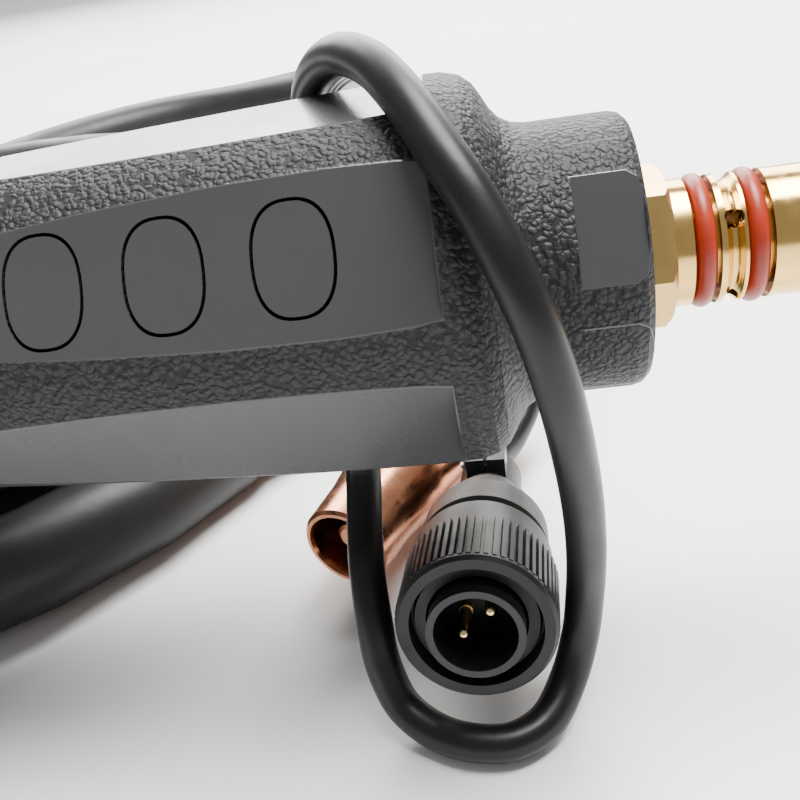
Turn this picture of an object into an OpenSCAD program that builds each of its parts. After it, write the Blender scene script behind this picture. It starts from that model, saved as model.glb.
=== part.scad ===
// MIG welding torch: machine-end connector, control lead, main cable, handle, swan neck and nozzle.
// Millimetres. The origin is the middle of the power pin's plain barrel, +X points out of the pin's
// tip, +Z is up, and the coiled cable rests on the surface at z = floor_z.

/* [Power pin] */
// Diameter of the power pin's barrel
pin_d = 15.9; // [15.8:0.05:16]
// Bore for the wire liner
pin_bore_d = 5.2; // [4.8:0.1:5.6]
// Width across the flats of the lock nut
nut_af = 17.75; // [17:0.25:19]
// Thickness of an O-ring
o_ring_d = 2.4; // [2.2:0.1:2.6]

/* [Connector housing] */
// Largest radius of the housing
housing_r = 24.4; // [24:0.1:24.6]
// Distance of a smooth flat from the axis, at its shoulder
flat_h = 22.85; // [22.5:0.05:23]
// How far the flats lean in towards the rear, in degrees
flat_lean = 2; // [1.5:0.1:2.2]
// Thickness of the shell
shell_wall = 3.6; // [3.2:0.1:4]
// Width of an oval port along the housing
port_w = 9.6; // [8.5:0.1:10]
// Height of an oval port
port_h = 13.4; // [12:0.1:13.5]

/* [Cables] */
// Diameter of the main cable
main_d = 19; // [18.5:0.1:19.5]
// Diameter of the control lead
lead_d = 5.2; // [5:0.1:5.4]
// Height of the surface that the torch lies on
floor_z = -61; // [-61.5:0.1:-61]

/* [Control plug] */
// Outside diameter of the knurled coupling ring
ring_d = 22; // [21.5:0.1:22.5]
// Number of teeth round the coupling ring
ring_teeth = 60; // [40:1:72]

/* [Handle] */
// Length of the handle
handle_l = 118; // [116:1:120]
// Bend of the swan neck, in degrees
neck_bend = 45; // [40:1:48]
// Radius of the bend
neck_r = 45; // [42:1:48]
// Outside diameter of the nozzle's rear part
nozzle_d = 19.5; // [19:0.1:20]
// Outside diameter of the nozzle's mouth
mouth_d = 15; // [14.6:0.1:15.4]

/* [Hidden] */
$fn = 72;
eps = 0.02;
pin_r = pin_d / 2;
groove_r = 5.9;
stud_r = 6;
hex_back = -27.3;
hex_front = -23.7;
pin_tip = 12.3;
gas_x = -16.6;
shell_spin = 58;
flat_end = -51;
port_x = [-66.4, -81.1, -95.3];
gland_x = -67;
gland_y = 3;
housing_rear = -166;
boot_end = -214;
main_r = main_d / 2;
lead_r = lead_d / 2;
housing_screw_at = [[-57, 15.6], [-57, -15.6], [-140, 14.2], [-140, -14.2]];
// Outline of the housing, [along, radius], from the rear to the nose
housing_line = [
  [housing_rear, 15.4], [-164.5, 16.6], [-161, 17.3], [-150, 18.4], [-135, 19.7], [-120, 20.9],
  [-105, 22], [-90, 22.95], [-75, 23.75], [-62, 24.25], [-54, housing_r], [-49, housing_r - 0.1],
  [-46.8, 23.7], [-45.4, 22.6], [-44.4, 21], [-43.6, 19.4], [-42.6, 18.2], [-41.2, 17.4],
  [-39.4, 17.1], [-29.6, 17.1], [-28.4, 16.8], [-27.6, 16], [-27.4, 15]
];
cavity_line = [
  [-160, 13.4], [-150, 18.4 - shell_wall], [-120, 20.9 - shell_wall], [-90, 22.6 - shell_wall],
  [-62, 23.6 - shell_wall], [-49, 23.4 - shell_wall], [-46, 17.4], [-43.5, 13.5], [-36, 12.6]
];
// Placing of the plug and of the handle
plug_at = [-52.6, -20.8, -42];
plug_heading = -94;
plug_rise = 10;
pin_angles = [130, 310];
torch_at = [-42, 131.8, -45.4];
torch_heading = -69.5;
torch_dip = 2.6;
neck_lead = 12;
collar_at = 24;
diffuser_at = 34;
tip_at = 60;
mouth_at = 85;
nozzle_back = 30;
button_x = -44;
trigger_x = -22;
trigger_z = -15.5;
coil_at = [-190, 103];

// Route of the control lead, from the grommet to the plug
lead_route = [
  [-67, 2.1, -26.1], [-67.2, 1, -30.4], [-67.6, -3.4, -35.6], [-67.6, -9, -39.8], [-67.2, -13.6, -45],
  [-66.6, -16.8, -51], [-64.4, -19.8, -56.2], [-60, -23, -58.4], [-55, -25.4, -58.4], [-49.4, -25.7, -58.4],
  [-44.6, -22.8, -57.8], [-41, -18, -55], [-38.8, -15.4, -49.6], [-37.8, -15.4, -42.6], [-37.4, -17.6, -34],
  [-37.6, -20.8, -24], [-38.4, -24.2, -14], [-39.7, -26.6, -4], [-41.2, -26.8, 3.2], [-43.2, -25.4, 9.4],
  [-46, -22, 15.8], [-49.3, -17.2, 20.9], [-52.4, -11, 24.8], [-56, -3.6, 27.4], [-60, 4, 27.6],
  [-64, 11.6, 25], [-67, 18.2, 20.4], [-68.4, 23.4, 13.8], [-68.2, 26.6, 5], [-66.6, 28.4, -4],
  [-62.6, 30.6, -13], [-57, 34.6, -20], [-51, 39.4, -25], [-45.4, 44.8, -29.6], [-41.6, 48.8, -35.6],
  [-40.2, 49.8, -42.8], [-41.4, 46.4, -48.8], [-44.6, 40, -51.6], [-47.8, 32.4, -51.4], [-49.4, 24.6, -50]
];
// Route of the main cable from the housing's boot to the coil
rear_route = [
  [boot_end, 0, 0], [-226, 0.2, -0.4], [-241, 2.4, -3], [-256, 8, -7.6], [-270, 17.6, -13.6],
  [-281, 31, -20], [-289, 47, -26], [-294, 66, -30.6], [-295, 84, -32.4]
];
// Route of the main cable from the coil to the handle's boot
torch_route = [
  [-295, 141, floor_z + main_r], [-290, 164, floor_z + main_r], [-285, 187, floor_z + main_r],
  [-279, 211, floor_z + main_r], [-271, 236, floor_z + main_r], [-260, 260, floor_z + main_r],
  [-246, 283, floor_z + main_r], [-229, 304, floor_z + main_r], [-210, 320, floor_z + main_r],
  [-190, 330.6, floor_z + main_r], [-170, 335, floor_z + main_r], [-150, 333, -50.6], [-132, 325.4, -48],
  [-116.6, 313, -44.4], [-105.8, 299, -40.4], [-99.1, 284.4, -38]
];
coil_line = [
  [60.5, floor_z], [121.5, floor_z], [121.5, -46], [114.5, -23], [62, -23], [60.5, -46]
];
// Outline of a tie round the coil
tie_line = [
  [59.2, floor_z], [122.8, floor_z], [122.8, -45.8], [115.6, -21.6], [61.2, -21.6], [59.2, -46]
];
// Sections of the handle: [along, half height, half width, drop]
handle_sections = [
  [-handle_l, 13.6, 13, 0], [-100, 14.8, 13.6, 0], [-66, 17, 14.6, 1.5], [-22, 17.4, 14.6, 1.8],
  [0, 13.4, 13, 0]
];
handle_screw_at = [[-108, 11.4], [-54, 12.9], [-9, 10.6]];

function unit(v) = v / norm(v);
function tangents(p) = [for (i = [0 : len(p) - 1]) unit(p[min(i + 1, len(p) - 1)] - p[max(i - 1, 0)])];
function carried(t, i, s) =
  i == len(t) ? [] : let (n = unit(s - t[i] * (s * t[i]))) concat([n], carried(t, i + 1, n));
function oval(a, b, n, p) = [
  for (i = [0 : n - 1])
    let (c = cos(360 * i / n), s = sin(360 * i / n))
      [a * sign(c) * pow(abs(c), 2 / p), b * sign(s) * pow(abs(s), 2 / p)]
];
function flipped(p) = [for (q = p) [q[1], q[0]]];
function ribs(from, to, r0, r1, count, depth) = [
  for (i = [0 : count - 1])
    let (step = (to - from) / count, x = from + i * step, r = r0 + (r1 - r0) * i / count)
      each [[x, r - depth], [x + 0.3 * step, r], [x + 0.7 * step, r], [x + 0.9 * step, r - depth]]
];

// Sweeps a round tube of n sides along points p
module tube(p, r, n) {
  t = tangents(p);
  s = carried(t, 0, cross(t[0], [0.1, 0.2, 1]));
  m = len(p);
  pts = [
    for (i = [0 : m - 1], k = [0 : n - 1])
      p[i] + r * (cos(360 * k / n) * s[i] + sin(360 * k / n) * cross(t[i], s[i]))
  ];
  walls = [for (i = [0 : m - 2], k = [0 : n - 1])
    [i * n + k, (i + 1) * n + k, (i + 1) * n + (k + 1) % n, i * n + (k + 1) % n]];
  ends = [[for (k = [0 : n - 1]) k], [for (k = [n - 1 : -1 : 0]) (m - 1) * n + k]];
  polyhedron(pts, concat(walls, ends), convexity = 10);
}
// Sweeps a round pipe of n sides along points p
module hollow(p, r, bore, n) {
  t = tangents(p);
  s = carried(t, 0, cross(t[0], [0.1, 0.2, 1]));
  m = len(p);
  o = m * n;
  pts = [
    for (q = [r, bore], i = [0 : m - 1], k = [0 : n - 1])
      p[i] + q * (cos(360 * k / n) * s[i] + sin(360 * k / n) * cross(t[i], s[i]))
  ];
  outer = [for (i = [0 : m - 2], k = [0 : n - 1])
    [i * n + k, (i + 1) * n + k, (i + 1) * n + (k + 1) % n, i * n + (k + 1) % n]];
  inner = [for (f = outer) [o + f[3], o + f[2], o + f[1], o + f[0]]];
  first = [for (k = [0 : n - 1]) [k, (k + 1) % n, o + (k + 1) % n, o + k]];
  last = [for (f = first) [for (v = [f[3], f[2], f[1], f[0]]) v + (m - 1) * n]];
  polyhedron(pts, concat(outer, inner, first, last), convexity = 10);
}
// Turns an outline of [along, radius] points round the X axis
module turned(line) {
  rotate([0, 90, 0]) rotate_extrude()
    polygon(concat([[0, line[0][0]]], flipped(line), [[0, line[len(line) - 1][0]]]));
}
module rod(x0, x1, r) {
  translate([x0, 0, 0]) rotate([0, 90, 0]) cylinder(r = r, h = x1 - x0);
}
module pipe(x0, x1, r, bore) {
  difference() {
    rod(x0, x1, r);
    rod(x0 - 1, x1 + 1, bore);
  }
}
module place_plug() {
  translate(plug_at) rotate([0, 0, plug_heading]) rotate([0, -plug_rise, 0]) children();
}
module place_torch() {
  translate(torch_at) rotate([0, 0, torch_heading]) rotate([0, torch_dip, 0]) rotate([-90, 0, 0]) children();
}
// Beyond the bend, +X runs along the neck's front leg
module place_leg() {
  translate([neck_lead + neck_r * sin(neck_bend), 0, neck_r * (cos(neck_bend) - 1)])
    rotate([0, neck_bend, 0]) children();
}

// ---- Connector housing ----
module port_hole(x, gap) {
  translate([x, 0, 14]) linear_extrude(14) polygon(oval(port_w / 2 - gap, port_h / 2 - gap, 44, 2.5));
}
module housing_body() {
  difference() {
    turned(housing_line);
    for (a = [0 : 60 : 300])
      rotate([a, 0, 0]) translate([flat_end, 0, flat_h]) rotate([0, -flat_lean, 0])
        translate([-110, -20, 0]) cube([110, 40, 12]);
    for (a = [0, 180])
      rotate([a, 0, 0]) translate([-35.7, -6.3, 15.9]) cube([7.8, 12.6, 6]);
  }
}
module housing_shell() {
  difference() {
    housing_body();
    turned(cavity_line);
    rod(-37, -20, stud_r + 0.1);
    rod(-170, -158, 12.5);
    rotate([-60, 0, 0]) translate([gland_x, gland_y, -30]) cylinder(r = 3.4, h = 30);
  }
}
module bosses(z0, z1, r) {
  for (p = housing_screw_at) translate([p[0], p[1], z0]) cylinder(r = r, h = z1 - z0);
}
module housing_front() {
  color([0.13, 0.13, 0.14]) rotate([shell_spin, 0, 0]) difference() {
    union() {
      intersection() {
        housing_shell();
        translate([-200, -40, eps]) cube([200, 80, 60]);
      }
      intersection() {
        housing_body();
        bosses(eps, 40, 3.4);
      }
    }
    bosses(-1, 11, 1.3);
    for (x = port_x) port_hole(x, 0);
  }
}
module housing_back() {
  color([0.12, 0.12, 0.13]) rotate([shell_spin, 0, 0]) difference() {
    union() {
      intersection() {
        housing_shell();
        translate([-200, -40, -60 - eps]) cube([200, 80, 60]);
      }
      intersection() {
        housing_body();
        bosses(-40, -eps, 3.8);
      }
    }
    bosses(-41, 1, 1.6);
    bosses(-41, -10, 3);
  }
}
module housing_screws() {
  color([0.55, 0.55, 0.57]) rotate([shell_spin, 0, 0]) for (p = housing_screw_at)
    translate([p[0], p[1], 0]) {
      translate([0, 0, -10.5]) cylinder(r = 1.25, h = 20);
      difference() {
        translate([0, 0, -12.4]) cylinder(r = 2.8, h = 2.35);
        translate([-0.35, -2, -13]) cube([0.7, 4, 1.5]);
        translate([-2, -0.35, -13]) cube([4, 0.7, 1.5]);
      }
    }
}
module port_plugs() {
  color([0.12, 0.12, 0.13]) rotate([shell_spin, 0, 0]) for (x = port_x)
    difference() {
      intersection() {
        housing_body();
        union() {
          port_hole(x, 0.4);
          translate([x, 0, 12]) linear_extrude(4) polygon(oval(port_w / 2 - 0.9, port_h / 2 - 0.9, 44, 2.5));
        }
      }
      translate([x, 0, 10]) linear_extrude(8.5) polygon(oval(port_w / 2 - 2, port_h / 2 - 2, 44, 2.5));
    }
}

// ---- Power pin ----
module power_pin() {
  waist = [for (i = [0 : 8]) [-17.6 + 2 * i / 8, pin_r - 0.9 * sin(180 * i / 8)]];
  line = concat(
    [[-62, 0], [-62, stud_r], [hex_front, stud_r], [hex_front, pin_r - 0.2], [hex_front + 0.2, pin_r],
     [-21.4, pin_r], [-21.3, pin_r - 0.1], [-21.3, groove_r], [-18.3, groove_r], [-18.3, pin_r]],
    waist,
    [[-15.2, pin_r], [-15.2, groove_r], [-12.1, groove_r], [-12.1, pin_r], [11.3, pin_r],
      [pin_tip, pin_r - 1],
     [pin_tip, 0]]
  );
  color([0.78, 0.6, 0.3]) difference() {
    rotate([0, 90, 0]) rotate_extrude() polygon(flipped(line));
    rod(-70, 20, pin_bore_d / 2);
    for (a = [40 : 90 : 310])
      translate([gas_x, 0, 0]) rotate([90 - a, 0, 0]) cylinder(r = 1.15, h = 12);
  }
}
module pin_lock_nut() {
  color([0.8, 0.63, 0.34]) difference() {
    intersection() {
      translate([hex_back, 0, 0]) rotate([0, 90, 0]) rotate([0, 0, -27])
        cylinder(r = nut_af / 2 / cos(30), h = hex_front - hex_back, $fn = 6);
      turned([[hex_back, nut_af / 2 + 0.4], [hex_back + 0.9, 10.4], [hex_front - 0.9, 10.4],
        [hex_front, nut_af / 2 + 0.4]]);
    }
    rod(-30, -20, stud_r + 0.04);
  }
}
module o_ring(x) {
  color([0.72, 0.2, 0.1]) translate([x, 0, 0]) rotate([0, 90, 0]) rotate_extrude()
    translate([groove_r + 0.02 + o_ring_d / 2, 0]) circle(r = o_ring_d / 2, $fn = 32);
}
module o_ring_inner() {
  o_ring(-19.9);
}
module o_ring_outer() {
  o_ring(-13.8);
}
module wire_liner() {
  color([0.6, 0.6, 0.62]) pipe(-60, pin_tip + 2.5, 1.9, 1);
}
module liner_collar() {
  color([0.75, 0.6, 0.35]) pipe(4, pin_tip + 1.2, pin_bore_d / 2 - 0.05, 1.95);
}
module pin_ferrule() {
  color([0.72, 0.42, 0.26]) difference() {
    rod(-104, -50, 8.6);
    rod(-62.1, -49, stud_r + 0.04);
    rod(-106, -66, 7.2);
  }
}
module cable_end_rear() {
  color([0.05, 0.05, 0.05]) rod(boot_end, -104.1, main_r - 0.05);
}
module rear_boot() {
  line = concat(
    [[-157, 12.9], [-159.5, 12.9], [-159.5, 12.4], [-166.1, 12.4], [-166.1, 14.6], [-171, 14.2]],
    ribs(-172, boot_end + 2, 13.9, 11.4, 9, 1.1),
    [[boot_end, 10.8]]
  );
  color([0.06, 0.06, 0.06]) difference() {
    rotate([0, 90, 0]) rotate_extrude() polygon(concat([[0, -157]], flipped(line), [[0, boot_end]]));
    rod(-220, -150, main_r);
  }
}
module lead_grommet() {
  color([0.05, 0.05, 0.05]) rotate([-2, 0, 0]) translate([gland_x, gland_y, 0]) rotate([180, 0, 0])
    rotate_extrude() polygon([[0, 17.6], [4.3, 17.6], [4.3, 18.2], [3.3, 18.4], [3.3, 22.4], [4.3, 22.6],
      [4.2, 23.2], [3.3, 23.8], [3, 26], [0, 26]]);
}
module lead_splices() {
  color([0.75, 0.2, 0.15]) for (s = [-1, 1])
    translate([-88, 0, 0]) rotate([shell_spin, 0, 0]) translate([0, -13.2, 3.2 * s]) rotate([0, 90, 0])
      cylinder(r = 1.6, h = 20, center = true);
}

// ---- Control lead and plug ----
module control_lead() {
  color([0.04, 0.04, 0.04]) tube(lead_route, lead_r, 8);
}
module plug_body() {
  line = [[-35, 0], [-35, 6], [-31, 7.6], [-26.4, 8.4], [-25.4, 9.6], [-19.6, 9.8], [-19, 9.4], [-18.6, 8.4],
    [-1.8, 8.4], [-1.8, 0]];
  color([0.14, 0.14, 0.15]) place_plug() difference() {
    rotate([0, 90, 0]) rotate_extrude() polygon(flipped(line));
    rod(-40, 0, 4.6);
    rod(-14, 0, 6.9);
  }
}
module plug_ring() {
  color([0.12, 0.12, 0.13]) place_plug() difference() {
    union() {
      turned([[-17.8, 9.6], [-17.2, 10.2], [-12.4, 10.2], [-12, 10.3], [-1.4, 10.3], [-1.2, 10.9],
        [-0.5, 10.9], [0, 10.4]]);
      for (i = [0 : ring_teeth - 1]) rotate([i * 360 / ring_teeth, 0, 0])
        translate([-11.6, -0.3, 10]) cube([10.6, 0.6, ring_d / 2 - 10]);
    }
    rod(-20, -2.4, 8.7);
    rod(-3, 1, 9);
  }
}
module plug_insert() {
  color([0.1, 0.1, 0.11]) place_plug() difference() {
    union() {
      rod(-13.9, 1.5, 6.6);
      rod(-13.9, -9, 6.8);
    }
    rod(-8, 3, 5.6);
    for (a = pin_angles)
      rotate([a, 0, 0]) translate([-15, 0, 2.6]) rotate([0, 90, 0]) cylinder(r = 1, h = 20);
  }
}
module plug_pins() {
  color([0.85, 0.68, 0.35]) place_plug() for (a = pin_angles)
    rotate([a, 0, 0]) translate([-14, 0, 2.6]) {
      rotate([0, 90, 0]) cylinder(r = 0.98, h = 7);
      translate([6.9, 0, 0]) rotate([0, 90, 0]) cylinder(r = 0.85, h = 5.4);
      translate([12.3, 0, 0]) sphere(r = 0.85, $fn = 24);
    }
}
module plug_clamp() {
  color([0.15, 0.15, 0.16]) place_plug() difference() {
    union() {
      rod(-45.6, -35.05, 5.2);
      translate([-44.6, -3.2, -7.4]) cube([7.4, 6.4, 14.8]);
    }
    rod(-46, -34, lead_r + 0.3);
    for (s = [-1, 1])
      translate([-40.9, 4, 6 * s]) rotate([90, 0, 0]) cylinder(r = 1.1, h = 8, $fn = 24);
    translate([-46, -0.3, -8]) cube([9.4, 0.6, 16]);
  }
}
module plug_clamp_screws() {
  color([0.6, 0.6, 0.62]) place_plug() for (s = [-1, 1])
    translate([-40.9, 0, 6 * s]) rotate([90, 0, 0]) {
      translate([0, 0, -3.2]) cylinder(r = 1.05, h = 6.6, $fn = 24);
      difference() {
        translate([0, 0, 3.22]) cylinder(r = 1.4, h = 1.1, $fn = 24);
        translate([-2, -0.25, 3.8]) cube([4, 0.5, 1]);
      }
    }
}

// ---- Main cable ----
module main_cable_rear() {
  color([0.04, 0.04, 0.04]) tube(rear_route, main_r, 12);
}
module main_cable_coil() {
  color([0.04, 0.04, 0.04]) translate([coil_at[0], coil_at[1], 0]) rotate_extrude() polygon(coil_line);
}
module main_cable_torch() {
  color([0.04, 0.04, 0.04]) tube(torch_route, main_r, 12);
}
module coil_ties() {
  color([0.1, 0.1, 0.1]) for (a = [130, 235, 335])
    translate([coil_at[0], coil_at[1], 0]) rotate([90, 0, a]) translate([0, 0, -8]) linear_extrude(16)
      difference() {
        polygon(tie_line);
        polygon([for (q = coil_line) [q[0], max(q[1], floor_z + 1)]]);
      }
}

// ---- Handle ----
module handle_form() {
  for (i = [0 : len(handle_sections) - 2])
    hull() for (s = [handle_sections[i], handle_sections[i + 1]])
      translate([s[0], 0, -s[3]]) rotate([90, 0, 90])
        translate([0, 0, s[0] > -1 ? -0.5 : 0]) linear_extrude(0.5) polygon(oval(s[2], s[1], 32, 2.6));
}
module handle_half(side) {
  difference() {
    handle_form();
    translate([-150, side > 0 ? -40 + eps : -eps, -40]) cube([200, 40, 80]);
    rod(-100, -14, 10.6);
    rod(-130, -100, main_r + 0.1);
    rod(-20, 10, 7.1);
    translate([-62, -4.8, -30]) cube([45, 9.6, 26]);
    for (p = handle_screw_at) translate([p[0], 0, p[1]]) {
      rotate([90, 0, 0]) cylinder(r = 1.35, h = 14, center = true);
      translate([0, 25, 0]) rotate([90, 0, 0]) cylinder(r = 2.4, h = 20);
    }
    translate([trigger_x, 0, trigger_z]) rotate([90, 0, 0]) cylinder(r = 1.27, h = 22, center = true);
  }
}
module handle_left() {
  color([0.12, 0.12, 0.13]) place_torch() handle_half(1);
}
module handle_right() {
  color([0.13, 0.13, 0.14]) place_torch() handle_half(-1);
}
module handle_screws() {
  color([0.6, 0.6, 0.62]) place_torch() for (p = handle_screw_at)
    translate([p[0], 0, p[1]]) {
      translate([0, 5.1, 0]) rotate([90, 0, 0]) cylinder(r = 1.25, h = 11.6);
      difference() {
        translate([0, 6.6, 0]) rotate([90, 0, 0]) cylinder(r = 2.2, h = 1.55);
        translate([-0.3, 5.7, -1.5]) cube([0.6, 2, 3]);
        translate([-1.5, 5.7, -0.3]) cube([3, 2, 0.6]);
      }
    }
}
module handle_boot() {
  line = concat(
    [[-118.1, 0], [-118.1, 12.6], [-122, 12.6]],
    ribs(-123, -161, 12.8, 10.9, 9, 1),
    [[-163, 10.5], [-163, 0]]
  );
  color([0.06, 0.06, 0.06]) place_torch() difference() {
    rotate([0, 90, 0]) rotate_extrude() polygon(flipped(line));
    rod(-170, -110, main_r);
  }
}
module cable_end_torch() {
  color([0.05, 0.05, 0.05]) place_torch() rod(-163, -64.1, main_r - 0.05);
}
module neck_ferrule() {
  color([0.72, 0.42, 0.26]) place_torch() difference() {
    rod(-64, -19, 7.4);
    rod(-40, -18, 5.05);
    rod(-65, -44, 5.8);
  }
}
module trigger() {
  blade = [
    [-20, -18], [-19.4, -20.4], [-23, -23.4], [-29, -24.6], [-37, -24.2], [-45, -24.6], [-53, -26.4],
    [-58.4, -26.6], [-60.2, -24], [-60, -19.6], [-58.6, -18], [-26, -18], [-24.4, -15.2], [-22.6, -12.9],
    [-20.6, -13.4], [-19.6, -15.5]
  ];
  color([0.1, 0.1, 0.11]) place_torch() difference() {
    translate([0, 4.2, 0]) rotate([90, 0, 0]) linear_extrude(8.4) polygon(blade);
    translate([trigger_x, 0, trigger_z]) rotate([90, 0, 0]) cylinder(r = 1.3, h = 20, center = true);
  }
}
module trigger_pin() {
  color([0.65, 0.65, 0.67]) place_torch() translate([trigger_x, 0, trigger_z]) rotate([90, 0, 0])
    cylinder(r = 1.24, h = 19, center = true);
}
module micro_switch() {
  color([0.08, 0.08, 0.09]) place_torch() difference() {
    translate([button_x - 7, -4.78, -14]) cube([14, 9.56, 5.6]);
    translate([button_x, 0, -15]) cylinder(r = 1.3, h = 5.9);
  }
}
module switch_button() {
  color([0.75, 0.15, 0.1]) place_torch() translate([button_x, 0, -17.7]) cylinder(r = 1.24, h = 5.5);
}
module neck_nut() {
  color([0.1, 0.1, 0.11]) place_torch() difference() {
    turned([[0.1, 12.6], [2, 12.8], [6, 11.4], [9.5, 9.4], [10, 8.6]]);
    rod(-1, 12, 7.06);
    for (a = [0 : 30 : 330])
      rotate([a, 0, 0]) translate([0, 0, 13.6]) rotate([0, 90, 0]) cylinder(r = 1.6, h = 11);
  }
}

// ---- Swan neck and front end ----
function bend_line(x0, leg) = concat(
  [[x0, 0, 0]],
  [for (a = [0 : 5 : neck_bend]) [neck_lead + neck_r * sin(a), 0, neck_r * (cos(a) - 1)]],
  [[neck_lead + neck_r * sin(neck_bend) + leg * cos(neck_bend), 0,
    neck_r * (cos(neck_bend) - 1) - leg * sin(neck_bend)]]
);
module neck_cover() {
  color([0.07, 0.07, 0.07]) place_torch() hollow(bend_line(-17.9, collar_at), 7, 5.04, 36);
}
module neck_tube() {
  color([0.7, 0.45, 0.28]) place_torch() hollow(bend_line(-39, diffuser_at), 5, 2.6, 36);
}
module neck_collar() {
  color([0.75, 0.58, 0.3]) place_torch() place_leg() pipe(collar_at + 0.1, diffuser_at, 7.6, 5.04);
}
module gas_diffuser() {
  color([0.78, 0.6, 0.32]) place_torch() place_leg() difference() {
    union() {
      rod(diffuser_at + 0.05, 50, 5.2);
      rod(49, tip_at, 4.8);
    }
    rod(diffuser_at - 1, 46, 2.6);
    rod(45, tip_at + 1, 2.5);
    for (a = [0 : 60 : 300])
      translate([53, 0, 0]) rotate([a, 0, 0]) translate([0, 0, 2.4]) cylinder(r = 0.8, h = 4, $fn = 24);
  }
}
module nozzle_insulator() {
  color([0.35, 0.2, 0.12]) place_torch() place_leg() difference() {
    pipe(diffuser_at + 0.1, 49, 7.7, 5.24);
    translate([41, 0, 0]) rotate([0, 90, 0]) rotate_extrude() translate([7.8, 0]) circle(r = 0.78, $fn = 24);
  }
}
module nozzle_spring() {
  color([0.65, 0.65, 0.67]) place_torch() place_leg() translate([41, 0, 0]) rotate([0, 90, 0])
    rotate([0, 0, 20]) rotate_extrude(angle = 320) translate([7.5, 0]) circle(r = 0.45, $fn = 24);
}
module contact_tip() {
  line = [[51, 0], [51, 2.44], [tip_at + 0.3, 2.44], [tip_at + 0.3, 3.6], [tip_at + 1.2, 3.9], [75, 3.9],
    [82, 2.6],
    [82.4, 2], [82.4, 0]];
  color([0.8, 0.45, 0.3]) place_torch() place_leg() difference() {
    rotate([0, 90, 0]) rotate_extrude() polygon(flipped(line));
    rod(50, 84, 0.6);
  }
}
module nozzle() {
  rear = nozzle_d / 2;
  mouth = mouth_d / 2;
  line = [
    [nozzle_back, 8.05], [nozzle_back, rear - 0.4], [nozzle_back + 0.5, rear], [58, rear], [64, rear - 0.6],
    [76, mouth + 0.3], [84.4, mouth], [mouth_at, mouth - 0.5], [mouth_at, 6.4], [84.4, 6.15], [72, 6.1],
    [58, 8.05]
  ];
  color([0.75, 0.4, 0.25]) place_torch() place_leg() rotate([0, 90, 0]) rotate_extrude()
    polygon(flipped(line));
}

housing_front();
housing_back();
housing_screws();
port_plugs();
power_pin();
pin_lock_nut();
o_ring_inner();
o_ring_outer();
wire_liner();
liner_collar();
pin_ferrule();
cable_end_rear();
rear_boot();
lead_grommet();
lead_splices();
control_lead();
plug_body();
plug_ring();
plug_insert();
plug_pins();
plug_clamp();
plug_clamp_screws();
main_cable_rear();
main_cable_coil();
main_cable_torch();
coil_ties();
handle_left();
handle_right();
handle_screws();
handle_boot();
cable_end_torch();
neck_ferrule();
trigger();
trigger_pin();
micro_switch();
switch_button();
neck_nut();
neck_cover();
neck_tube();
neck_collar();
gas_diffuser();
nozzle_insulator();
nozzle_spring();
contact_tip();
nozzle();
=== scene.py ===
import bpy
import math
import random
from mathutils import Matrix, Vector


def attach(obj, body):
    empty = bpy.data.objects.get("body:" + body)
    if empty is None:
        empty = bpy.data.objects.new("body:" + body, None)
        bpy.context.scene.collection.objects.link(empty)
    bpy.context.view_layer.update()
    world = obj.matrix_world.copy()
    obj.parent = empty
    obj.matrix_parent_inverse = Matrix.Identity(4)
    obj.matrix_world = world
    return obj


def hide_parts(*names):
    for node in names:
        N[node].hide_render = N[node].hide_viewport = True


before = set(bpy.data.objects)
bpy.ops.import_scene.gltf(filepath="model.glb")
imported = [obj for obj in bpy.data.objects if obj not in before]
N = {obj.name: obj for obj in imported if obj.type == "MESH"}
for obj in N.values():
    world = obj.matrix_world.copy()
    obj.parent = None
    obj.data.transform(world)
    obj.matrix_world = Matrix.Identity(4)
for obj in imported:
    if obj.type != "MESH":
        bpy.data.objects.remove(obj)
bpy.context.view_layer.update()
random.seed(7)
MM = 0.001
FLOOR = -0.061  # height of the surface that the object stands on
FLOOR_GAP = 0.0002  # the stage plane is this far below it
CAMERA_AT = (-0.0453, -0.1189, 0.0510)
CAMERA_TURN = (7, 30, -9.9)  # yaw, pitch down and roll, in degrees


# ---------- camera and cords ----------
def aim_camera():
    yaw, pitch, roll = (math.radians(d) for d in CAMERA_TURN)
    forward = Vector((-math.sin(yaw) * math.cos(pitch), math.cos(yaw) * math.cos(pitch),
                      -math.sin(pitch)))
    side = Vector((math.cos(yaw), math.sin(yaw), 0))
    up = side.cross(forward)
    right = side * math.cos(roll) + up * math.sin(roll)
    top = up * math.cos(roll) - side * math.sin(roll)
    data = bpy.data.cameras.new("main_camera")
    data.lens, data.sensor_width, data.clip_start = 45, 36, 0.005
    cam = bpy.data.objects.new("main_camera", data)
    bpy.context.scene.collection.objects.link(cam)
    cam.matrix_world = Matrix((
        (right.x, top.x, -forward.x, CAMERA_AT[0]),
        (right.y, top.y, -forward.y, CAMERA_AT[1]),
        (right.z, top.z, -forward.z, CAMERA_AT[2]),
        (0, 0, 0, 1)))
    bpy.context.scene.camera = cam


aim_camera()


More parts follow.
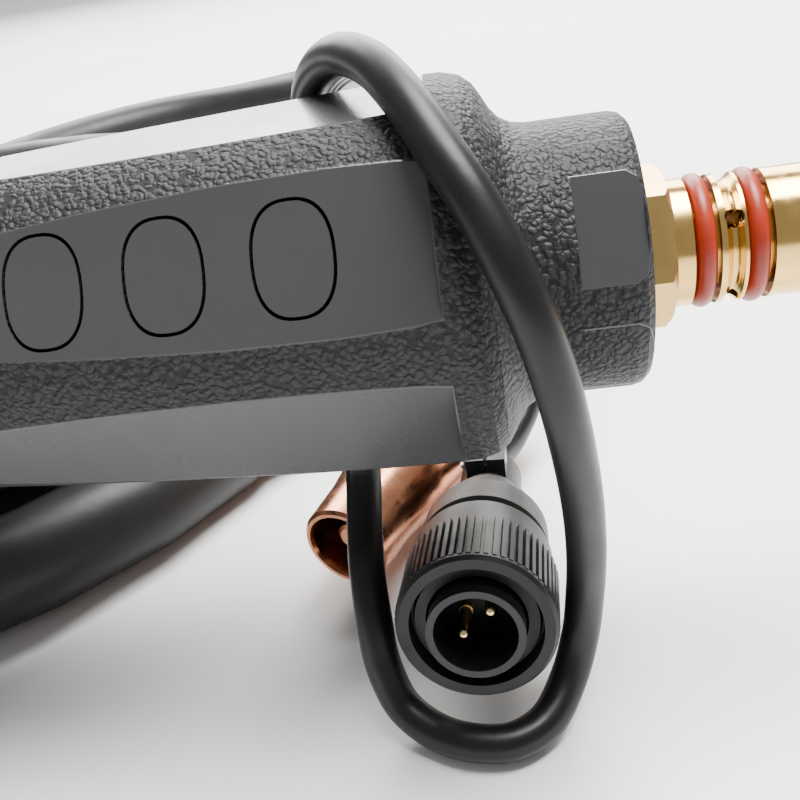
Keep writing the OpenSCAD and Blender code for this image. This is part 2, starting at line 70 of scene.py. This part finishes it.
def smooth_line(points, per=8):
    """Centripetal curve through the points, in metres."""
    p = [Vector(q) * MM for q in points]
    p = [p[0] * 2 - p[1]] + p + [p[-1] * 2 - p[-2]]
    out = []
    for i in range(1, len(p) - 2):
        a, b, c, d = p[i - 1:i + 3]
        t1 = (b - a).length ** 0.5
        t2 = t1 + (c - b).length ** 0.5
        t3 = t2 + (d - c).length ** 0.5
        for k in range(per):
            t = t1 + (t2 - t1) * k / per
            a1 = a * ((t1 - t) / t1) + b * (t / t1)
            a2 = b * ((t2 - t) / (t2 - t1)) + c * ((t - t1) / (t2 - t1))
            a3 = c * ((t3 - t) / (t3 - t2)) + d * ((t - t2) / (t3 - t2))
            b1 = a1 * ((t2 - t) / t2) + a2 * (t / t2)
            b2 = a2 * ((t3 - t) / (t3 - t1)) + a3 * ((t - t1) / (t3 - t1))
            out.append(b1 * ((t2 - t) / (t2 - t1)) + b2 * ((t - t1) / (t2 - t1)))
    out.append(p[-2])
    return out


def cable(name, points, diameter, sides):
    """Mesh tube along the points."""
    data = bpy.data.curves.new(name, "CURVE")
    data.dimensions = "3D"
    line = data.splines.new("POLY")
    line.points.add(len(points) - 1)
    for q, p in zip(line.points, points):
        q.co = (*p, 1)
    data.bevel_depth = diameter / 2
    data.bevel_resolution = sides
    data.use_fill_caps = True
    data.twist_mode = "MINIMUM"
    sweep = bpy.data.objects.new(name + "_sweep", data)
    bpy.context.scene.collection.objects.link(sweep)
    bpy.context.view_layer.update()
    graph = bpy.context.evaluated_depsgraph_get()
    mesh = bpy.data.meshes.new_from_object(sweep.evaluated_get(graph))
    bpy.data.objects.remove(sweep)
    mesh.name = name
    mesh.shade_smooth()
    obj = bpy.data.objects.new(name, mesh)
    bpy.context.scene.collection.objects.link(obj)
    return obj


# Routes of the cords, in millimetres.
lead_route = [
    (-67, 2.1, -26.1), (-67.2, 1, -30.4), (-67.6, -3.4, -35.6), (-67.6, -9, -39.8),
    (-67.2, -13.6, -45), (-66.6, -16.8, -51), (-64.4, -19.8, -56.2), (-60, -23, -58.2),
    (-55, -25.4, -58.2), (-49.4, -25.7, -58.2), (-44.6, -22.8, -57.8), (-41, -18, -55),
    (-38.8, -15.4, -49.6), (-37.8, -15.4, -42.6), (-37.4, -17.6, -34), (-37.6, -20.8, -24),
    (-38.4, -24.2, -14), (-39.7, -26.6, -4), (-41.2, -26.8, 3.2), (-43.2, -25.4, 9.4),
    (-46, -22, 15.8), (-49.3, -17.2, 20.9), (-52.4, -11, 24.8), (-56, -3.6, 27.4),
    (-60, 4, 27.6), (-64, 11.6, 25), (-67, 18.2, 20.4), (-68.4, 23.4, 13.8),
    (-68.2, 26.6, 5), (-66.6, 28.4, -4), (-62.6, 30.6, -13), (-57, 34.6, -20),
    (-51, 39.4, -25), (-45.4, 44.8, -29.6), (-41.6, 48.8, -35.6), (-40.2, 49.8, -42.8),
    (-41.4, 46.4, -48.8), (-44.6, 40, -51.6), (-47.8, 32.4, -51.4), (-49.4, 24.6, -50)]
rear_route = [
    (-214, 0, 0), (-226, 0.2, -0.4), (-241, 2.4, -3), (-256, 8, -7.6), (-270, 17.6, -13.6),
    (-281, 31, -20), (-289, 47, -26), (-294, 66, -30.6), (-295, 84, -32.4)]
torch_route = [
    (-295, 141, -51.5), (-290, 164, -51.5), (-285, 187, -51.5),
    (-279, 211, -51.5), (-271, 236, -51.5), (-260, 260, -51.5),
    (-246, 283, -51.5), (-229, 304, -51.5), (-210, 320, -51.5),
    (-190, 330.6, -51.5), (-170, 335, -51.5), (-150, 333, -50.6), (-132, 325.4, -48),
    (-116.6, 313, -44.4), (-105.8, 299, -40.4), (-99.1, 284.4, -38)]


COIL_MM = (-190, 103)  # centre of the coil
TURNS, STEPS = 4.06, 130
TURN_PITCH = 19.2
OUTER_R, INNER_R = 105, 70.4  # radius at the start, and at the innermost turn
TOP_Z, LAYER_DROP = -32.4, 19.1  # height of the upper layer, and down to the lower one
DROP_AT, DROP_OVER = 1.72, 0.2  # in turns
INWARD_TO, OUTWARD_FROM = 1.8, 1.84  # in turns


def coil_route():
    """Two turns inwards on the upper layer, then two outwards on the lower."""
    out = []
    for i in range(1, STEPS):
        t = TURNS * i / STEPS
        a = math.radians(180 - 360 * t)
        fall = min(max((t - DROP_AT) / DROP_OVER, 0), 1)
        fall = fall * fall * (3 - 2 * fall)
        if t < INWARD_TO:
            r = OUTER_R - TURN_PITCH * t
        else:
            r = INNER_R + TURN_PITCH * max(t - OUTWARD_FROM, 0)
        out.append((COIL_MM[0] + r * math.cos(a), COIL_MM[1] + r * math.sin(a),
                    TOP_Z - LAYER_DROP * fall))
    return out


lead_line = smooth_line(lead_route, 8)
main_line = smooth_line(rear_route, 5) + [Vector(p) * MM for p in coil_route()]
main_line += smooth_line(torch_route, 5)
control_lead = cable("control_lead_visual", lead_line, 0.0052, 8)
main_cable = cable("main_cable_visual", main_line, 0.019, 12)
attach(control_lead, "torch")
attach(main_cable, "torch")
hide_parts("control_lead")
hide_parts("main_cable_rear", "main_cable_coil", "main_cable_torch")


# ---------- straps round the coil ----------
COIL = (-0.190, 0.103)
COIL_REACH = 0.1135  # beyond this the cable has left the coil
STRAP_AT = (130, 235, 335)  # degrees round the coil
STRAP_WIDTH, STRAP_PUFF, STRAP_THICK = 0.016, 0.0011, 0.0012
STRAP_R = 0.0098  # from a turn's centre
STRAP_WAVER = 0.00012
RIM_BOTTOM, STRAP_BOTTOM = -0.0608, -0.0609
RIM_POINTS, STRAP_STEPS = 40, 9


def hull_2d(points):
    """Convex outline of the points, anticlockwise."""
    points = sorted(set(points))

    def half(seq):
        out = []
        for p in seq:
            while len(out) > 1 and ((out[-1][0] - out[-2][0]) * (p[1] - out[-2][1])
                                    - (out[-1][1] - out[-2][1]) * (p[0] - out[-2][0])) <= 0:
                out.pop()
            out.append(p)
        return out[:-1]

    return half(points) + half(points[::-1])


def coil_section(angle):
    """(radius, height) of each turn where it crosses this angle."""
    turn = Vector((math.cos(angle), math.sin(angle)))
    out = []
    for a, b in zip(main_line, main_line[1:]):
        pa, pb = (Vector((p.x - COIL[0], p.y - COIL[1])) for p in (a, b))
        sa, sb = turn.cross(pa), turn.cross(pb)
        if sa * sb <= 0 and turn.dot(pa) > 0 and pa.length < COIL_REACH:
            out.append((turn.dot(pa), a.z))
    return out


def strap(degrees):
    angle = math.radians(degrees)
    rim = []
    for r, z in coil_section(angle):
        for k in range(RIM_POINTS):
            w = 2 * math.pi * k / RIM_POINTS
            rim.append((round(r + STRAP_R * math.cos(w), 6),
                        round(max(z + STRAP_R * math.sin(w), RIM_BOTTOM), 6)))
    loop = hull_2d(rim)
    verts, faces = [], []
    for i, (r, z) in enumerate(loop):
        before, after = loop[i - 1], loop[(i + 1) % len(loop)]
        out = Vector((after[1] - before[1], before[0] - after[0])).normalized()
        for k in range(STRAP_STEPS):
            side = STRAP_WIDTH * (k / (STRAP_STEPS - 1) - 0.5)
            puff = STRAP_PUFF * (1 - 0.55 * abs(2 * k / (STRAP_STEPS - 1) - 1) ** 4)
            puff += STRAP_WAVER * random.uniform(-1, 1)
            rr, zz = r + out.x * puff, max(z + out.y * puff, STRAP_BOTTOM)
            verts.append((COIL[0] + rr * math.cos(angle) - side * math.sin(angle),
                          COIL[1] + rr * math.sin(angle) + side * math.cos(angle), zz))
    n = len(loop)
    for i in range(n):
        for k in range(STRAP_STEPS - 1):
            a, b = i * STRAP_STEPS + k, ((i + 1) % n) * STRAP_STEPS + k
            faces.append((a, b, b + 1, a + 1))
    return verts, faces


def add_straps():
    verts, faces = [], []
    for degrees in STRAP_AT:
        v, f = strap(degrees)
        faces += [tuple(k + len(verts) for k in q) for q in f]
        verts += v
    mesh = bpy.data.meshes.new("coil_ties_visual")
    mesh.from_pydata(verts, [], faces)
    mesh.shade_smooth()
    obj = bpy.data.objects.new("coil_ties_visual", mesh)
    bpy.context.scene.collection.objects.link(obj)
    thick = obj.modifiers.new("thickness", "SOLIDIFY")
    thick.thickness, thick.offset = STRAP_THICK, 0
    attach(obj, "torch")
    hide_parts("coil_ties")
    return obj


straps = add_straps()


# ---------- materials ----------
class Shade:
    """One procedural material; its textures use object coordinates, in metres."""

    def __init__(self, name, color, rough, metal=0.0):
        self.m = bpy.data.materials.new(name)
        self.m.use_nodes = True
        self.t = self.m.node_tree
        self.b = self.t.nodes["Principled BSDF"]
        self.b.inputs["Base Color"].default_value = (*color, 1)
        self.b.inputs["Roughness"].default_value = rough
        self.b.inputs["Metallic"].default_value = metal
        self.at = self.node("ShaderNodeTexCoord").outputs["Object"]
        self.normal = None

    def node(self, kind, **values):
        n = self.t.nodes.new(kind)
        for k, v in values.items():
            setattr(n, k, v)
        return n

    def plug(self, a, b):
        self.t.links.new(a, b)

    def put(self, socket, v):
        if isinstance(v, bpy.types.NodeSocket):
            self.plug(v, socket)
        else:
            socket.default_value = v

    def math(self, op, a, b=None):
        n = self.node("ShaderNodeMath", operation=op)
        self.put(n.inputs[0], a)
        if b is not None:
            self.put(n.inputs[1], b)
        return n.outputs[0]

    def noise(self, scale, detail=3.0, rough=0.5, at=None):
        n = self.node("ShaderNodeTexNoise")
        self.plug(at or self.at, n.inputs["Vector"])
        n.inputs["Scale"].default_value = scale
        n.inputs["Detail"].default_value = detail
        n.inputs["Roughness"].default_value = rough
        return n.outputs["Fac"]

    def cells(self, scale, feature="DISTANCE_TO_EDGE", at=None):
        n = self.node("ShaderNodeTexVoronoi", feature=feature)
        self.plug(at or self.at, n.inputs["Vector"])
        n.inputs["Scale"].default_value = scale
        return n.outputs["Distance"]

    def span(self, v, lo, hi, to_lo=0.0, to_hi=1.0):
        n = self.node("ShaderNodeMapRange")
        self.put(n.inputs["Value"], v)
        for k, x in (("From Min", lo), ("From Max", hi), ("To Min", to_lo), ("To Max", to_hi)):
            n.inputs[k].default_value = x
        return n.outputs["Result"]

    def mix(self, fac, a, b):
        n = self.node("ShaderNodeMix", data_type="RGBA")
        # 0 is the factor, 6 and 7 the two colours, output 2 the mixed colour
        self.put(n.inputs[0], fac)
        self.put(n.inputs[6], (*a, 1) if isinstance(a, tuple) else a)
        self.put(n.inputs[7], (*b, 1) if isinstance(b, tuple) else b)
        return n.outputs[2]

    def color(self, v):
        self.plug(v, self.b.inputs["Base Color"])

    def rough(self, v):
        self.plug(v, self.b.inputs["Roughness"])

    def bump(self, height, metres, strength=1.0):
        n = self.node("ShaderNodeBump")
        n.inputs["Distance"].default_value = metres
        self.put(n.inputs["Strength"], strength)
        self.plug(height, n.inputs["Height"])
        if self.normal:
            self.plug(self.normal, n.inputs["Normal"])
        self.normal = n.outputs["Normal"]
        self.plug(self.normal, self.b.inputs["Normal"])

    def warped(self, scale, amount):
        n = self.node("ShaderNodeTexNoise")
        self.plug(self.at, n.inputs["Vector"])
        n.inputs["Scale"].default_value = scale
        n.inputs["Detail"].default_value = 1.0
        m = self.node("ShaderNodeVectorMath", operation="SCALE")
        self.plug(n.outputs["Color"], m.inputs[0])
        m.inputs["Scale"].default_value = amount
        add = self.node("ShaderNodeVectorMath", operation="ADD")
        self.plug(self.at, add.inputs[0])
        self.plug(m.outputs[0], add.inputs[1])
        return add.outputs[0]

    def axes(self):
        n = self.node("ShaderNodeSeparateXYZ")
        self.plug(self.at, n.inputs[0])
        return n.outputs


def grain(s, keep):
    """Leather grain: rounded pebbles with creases, as strong as keep."""
    at = s.warped(760, 0.001)
    near = s.cells(1350, "F1", at=at)
    pebbles = s.span(s.math("MULTIPLY", near, near), 0.03, 0.5, 1.0, 0.0)
    fine = s.noise(2400, 2.0)
    height = s.math("ADD", s.math("MULTIPLY", pebbles, 0.8), s.math("MULTIPLY", fine, 0.2))
    s.bump(height, 0.00022, keep)
    # the pebble mask returned here also paints shade into the creases of the colour
    return pebbles


# The housing's six flats: where they start and how high they are above its axis, in metres.
FLAT_TURN, FLAT_FIRST, FLAT_MIDDLE = 60, 2, 30  # degrees
FLAT_BACK_OF, FLAT_END = 0.051, -0.0509
FLAT_SLOPE, FLAT_HEIGHT = 0.0349, 0.02285
NECK_FROM, NECK_HEIGHT, NECK_TOLERANCE = -0.0358, 0.0159, 0.00004
REAR_FROM = -0.1655


def shell_material():
    s = Shade("shell_leather_grain", (0.035, 0.036, 0.038), 0.45)
    x, y, z = s.axes()
    r = s.math("SQRT", s.math("ADD", s.math("MULTIPLY", y, y), s.math("MULTIPLY", z, z)))
    turn = s.math("ARCTAN2", z, s.math("MULTIPLY", y, -1.0))
    turn = s.math("FLOORED_MODULO", s.math("SUBTRACT", turn, math.radians(FLAT_FIRST)),
                  math.radians(FLAT_TURN))
    high = s.math("MULTIPLY", r,
                  s.math("COSINE", s.math("SUBTRACT", turn, math.radians(FLAT_MIDDLE))))
    plane = s.math("ADD", s.math("MULTIPLY", s.math("ADD", x, FLAT_BACK_OF), FLAT_SLOPE), FLAT_HEIGHT)
    flat = s.span(s.math("SUBTRACT", high, plane), -0.00012, -0.00005)
    flat = s.math("MULTIPLY", flat, s.math("LESS_THAN", x, FLAT_END))
    neck = s.math("MULTIPLY", s.math("GREATER_THAN", x, NECK_FROM),
                  s.math("LESS_THAN", s.math("ABSOLUTE", s.math("SUBTRACT", high, NECK_HEIGHT)),
                         NECK_TOLERANCE))
    smooth = s.math("MINIMUM", s.math("ADD", flat, neck), 1.0)
    rear = s.math("LESS_THAN", x, REAR_FROM)
    smooth = s.math("MAXIMUM", smooth, rear)
    pebbles = grain(s, s.math("MULTIPLY", s.math("SUBTRACT", 1.0, smooth), 0.95))
    s.bump(s.noise(160, 2.0), 0.00008, 0.5)
    # painted shade: the grain is darker in the creases between pebbles and lighter on the pebble tops
    grain_crease_shade = s.mix(pebbles, (0.008, 0.0083, 0.0088), (0.024, 0.0245, 0.026))
    clean = s.mix(s.noise(45, 4.0), (0.032, 0.033, 0.035), (0.046, 0.047, 0.05))
    s.color(s.mix(smooth, grain_crease_shade, clean))
    streak = s.span(s.noise(60, 5.0), 0.3, 0.7, 0.2, 0.3)
    rough = s.math("ADD", s.math("MULTIPLY", smooth, streak),
                   s.math("MULTIPLY", s.math("SUBTRACT", 1.0, smooth), 0.55))
    s.rough(rough)
    s.plug(s.math("ADD", s.math("MULTIPLY", smooth, 0.28), 0.27), s.b.inputs["Specular IOR Level"])
    return s.m


def plastic(name, low, high, rough, scale=900, lift=0.00006, shine=0.35):
    s = Shade(name, low, rough)
    s.b.inputs["Specular IOR Level"].default_value = shine
    s.color(s.mix(s.noise(70, 4.0), low, high))
    s.rough(s.span(s.noise(130, 4.0), 0.3, 0.7, rough - 0.07, rough + 0.09))
    s.bump(s.noise(scale, 3.0), lift, 0.6)
    return s.m


def handle_material():
    s = Shade("handle_leather_grain", (0.04, 0.041, 0.043), 0.45)
    pebbles = grain(s, 0.8)
    # painted shade: darker in the creases between pebbles, lighter on the pebble tops
    s.color(s.mix(pebbles, (0.012, 0.0125, 0.013), (0.036, 0.037, 0.039)))
    s.rough(s.span(s.noise(90, 3.0), 0.3, 0.7, 0.4, 0.52))
    return s.m


def turned_metal(name, base, dark, rough, ring=5200, axis_x=True, stain=0.25):
    s = Shade(name, base, rough, 1.0)
    stains = s.span(s.noise(150, 5.0, 0.6), 0.35, 0.75, 0.0, stain)
    s.color(s.mix(stains, base, dark))
    s.rough(s.span(s.noise(320, 4.0), 0.3, 0.7, rough - 0.05, rough + 0.1))
    if axis_x:
        x = s.axes()[0]
        line = s.node("ShaderNodeCombineXYZ")
        s.plug(x, line.inputs[0])
        s.bump(s.noise(ring, 3.0, 0.7, at=line.outputs[0]), 0.00003, 0.6)
    else:
        s.bump(s.noise(ring / 2, 3.0), 0.00002, 0.5)
    return s.m


def jacket(name, low, high, rough):
    s = Shade(name, low, rough)
    s.color(s.mix(s.noise(55, 4.0), low, high))
    s.rough(s.span(s.noise(90, 5.0, 0.6), 0.3, 0.7, rough - 0.06, rough + 0.1))
    s.bump(s.noise(240, 4.0), 0.00012, 0.5)
    s.b.inputs["Specular IOR Level"].default_value = 0.3
    return s.m


def rubber_red():
    s = Shade("o_ring_red", (0.3, 0.02, 0.006), 0.38)
    s.color(s.mix(s.noise(420, 3.0), (0.25, 0.014, 0.004), (0.36, 0.032, 0.009)))
    s.bump(s.noise(1900, 2.0), 0.00003, 0.5)
    s.b.inputs["Specular IOR Level"].default_value = 0.4
    return s.m


def woven():
    s = Shade("strap_weave", (0.03, 0.03, 0.03), 0.9)
    s.color(s.mix(s.cells(900, "F1"), (0.018, 0.018, 0.019), (0.05, 0.05, 0.052)))
    s.bump(s.cells(1100), 0.0003, 0.9)
    s.b.inputs["Sheen Weight"].default_value = 0.3
    return s.m


def copper_nozzle():
    s = Shade("nozzle_copper", (0.72, 0.32, 0.17), 0.25, 1.0)
    heat = s.span(s.noise(60, 4.0), 0.35, 0.7)
    s.color(s.mix(heat, (0.76, 0.36, 0.21), (0.55, 0.2, 0.09)))
    s.rough(s.span(s.noise(260, 5.0), 0.3, 0.7, 0.18, 0.36))
    s.bump(s.noise(900, 3.0), 0.00003, 0.5)
    return s.m


M = {
    "shell": shell_material(),
    "handle": handle_material(),
    "black": plastic("black_plastic", (0.02, 0.02, 0.021), (0.034, 0.034, 0.036), 0.42),
    "plug": plastic("plug_plastic", (0.007, 0.0073, 0.008), (0.015, 0.0155, 0.017), 0.46,
                    1500, 0.00005, 0.3),
    "insert": plastic("insert_plastic", (0.006, 0.006, 0.0065), (0.012, 0.012, 0.013), 0.3,
                      1200, 0.00003),
    "rubber": plastic("boot_rubber", (0.009, 0.009, 0.0095), (0.018, 0.018, 0.019), 0.55,
                      1300, 0.0001),
    "brass": turned_metal("brass_turned", (0.8, 0.52, 0.17), (0.42, 0.22, 0.06), 0.14),
    "hex": turned_metal("brass_milled", (0.82, 0.55, 0.2), (0.48, 0.27, 0.08), 0.17, 2600, False, 0.4),
    "pins": turned_metal("brass_pins", (0.86, 0.66, 0.34), (0.6, 0.4, 0.18), 0.16, 3000, False),
    "copper": turned_metal("copper_dull", (0.72, 0.35, 0.2), (0.42, 0.18, 0.09), 0.3, 2600, False,
                           0.5),
    "nozzle": copper_nozzle(),
    "steel": turned_metal("steel_zinc", (0.62, 0.62, 0.64), (0.34, 0.34, 0.35), 0.28, 2600, False),
    "red": plastic("red_plastic", (0.42, 0.03, 0.02), (0.55, 0.05, 0.03), 0.3),
    "o_ring": rubber_red(),
    "insulator": plastic("insulator_brown", (0.13, 0.06, 0.03), (0.2, 0.1, 0.05), 0.5,
                         1600, 0.0001),
    "lead": jacket("lead_jacket", (0.005, 0.005, 0.0056), (0.009, 0.009, 0.0102), 0.36),
    "cable": jacket("main_jacket", (0.011, 0.0115, 0.012), (0.02, 0.021, 0.022), 0.42),
    "strap": woven(),
}
WEAR = {
    "shell": ["housing_front", "housing_back", "port_plugs"],
    "handle": ["handle_left", "handle_right"],
    "black": ["trigger", "micro_switch", "neck_nut", "neck_cover"],
    "plug": ["plug_body", "plug_ring", "plug_clamp"],
    "insert": ["plug_insert"],
    "rubber": ["rear_boot", "lead_grommet", "handle_boot"],
    "brass": ["power_pin", "liner_collar"],
    "hex": ["pin_lock_nut", "neck_collar", "gas_diffuser"],
    "pins": ["plug_pins"],
    "copper": ["pin_ferrule", "neck_ferrule", "neck_tube", "contact_tip"],
    "nozzle": ["nozzle"],
    "steel": ["housing_screws", "wire_liner", "plug_clamp_screws", "handle_screws", "trigger_pin",
              "nozzle_spring"],
    "red": ["lead_splices", "switch_button"],
    "o_ring": ["o_ring_inner", "o_ring_outer"],
    "insulator": ["nozzle_insulator"],
    "cable": ["cable_end_rear", "cable_end_torch", "main_cable_rear", "main_cable_coil",
              "main_cable_torch"],
    "lead": ["control_lead"],
    "strap": ["coil_ties"],
}


def wear(obj, m):
    obj.data.materials.clear()
    obj.data.materials.append(m)


for key, names in WEAR.items():
    for n in names:
        wear(N[n], M[key])
wear(control_lead, M["lead"])
wear(main_cable, M["cable"])
wear(straps, M["strap"])


# ---------- floor and light ----------
def make_floor():
    bpy.ops.mesh.primitive_plane_add(size=6, location=(0, 0, FLOOR - FLOOR_GAP))
    floor = bpy.context.object
    floor.name = "floor"
    s = Shade("pale_floor", (0.86, 0.865, 0.87), 0.5)
    s.color(s.mix(s.noise(6, 3.0), (0.85, 0.855, 0.865), (0.88, 0.88, 0.88)))
    s.rough(s.span(s.noise(14, 3.0), 0.3, 0.7, 0.42, 0.56))
    wear(floor, s.m)


def area(name, at, target, size, power, color=(1, 1, 1)):
    data = bpy.data.lights.new(name, "AREA")
    data.shape, data.size, data.size_y = "RECTANGLE", size[0], size[1]
    data.energy, data.color = power, color
    obj = bpy.data.objects.new(name, data)
    bpy.context.scene.collection.objects.link(obj)
    obj.location = at
    obj.rotation_euler = (Vector(target) - Vector(at)).to_track_quat("-Z", "Y").to_euler()


make_floor()
WORLD_LIGHT, WORLD_SEEN = 0.42, 1.6  # strength as light, and as the camera sees it
world = bpy.data.worlds.new("studio_world")
bpy.context.scene.world = world
world.use_nodes = True
sky = world.node_tree.nodes["Background"]
sky.inputs["Color"].default_value = (1, 0.995, 0.985, 1)
camera_ray = world.node_tree.nodes.new("ShaderNodeLightPath")
strength = world.node_tree.nodes.new("ShaderNodeMapRange")
strength.inputs["To Min"].default_value = WORLD_LIGHT
strength.inputs["To Max"].default_value = WORLD_SEEN
world.node_tree.links.new(camera_ray.outputs["Is Camera Ray"], strength.inputs["Value"])
world.node_tree.links.new(strength.outputs["Result"], sky.inputs["Strength"])
area("key_soft", (0.12, 0.12, 0.8), (-0.05, 0, 0), (0.5, 0.5), 30, (1, 0.99, 0.97))
area("back_soft", (-0.1, 0.75, 0.35), (-0.05, 0, 0), (0.9, 0.5), 20, (1, 0.98, 0.94))
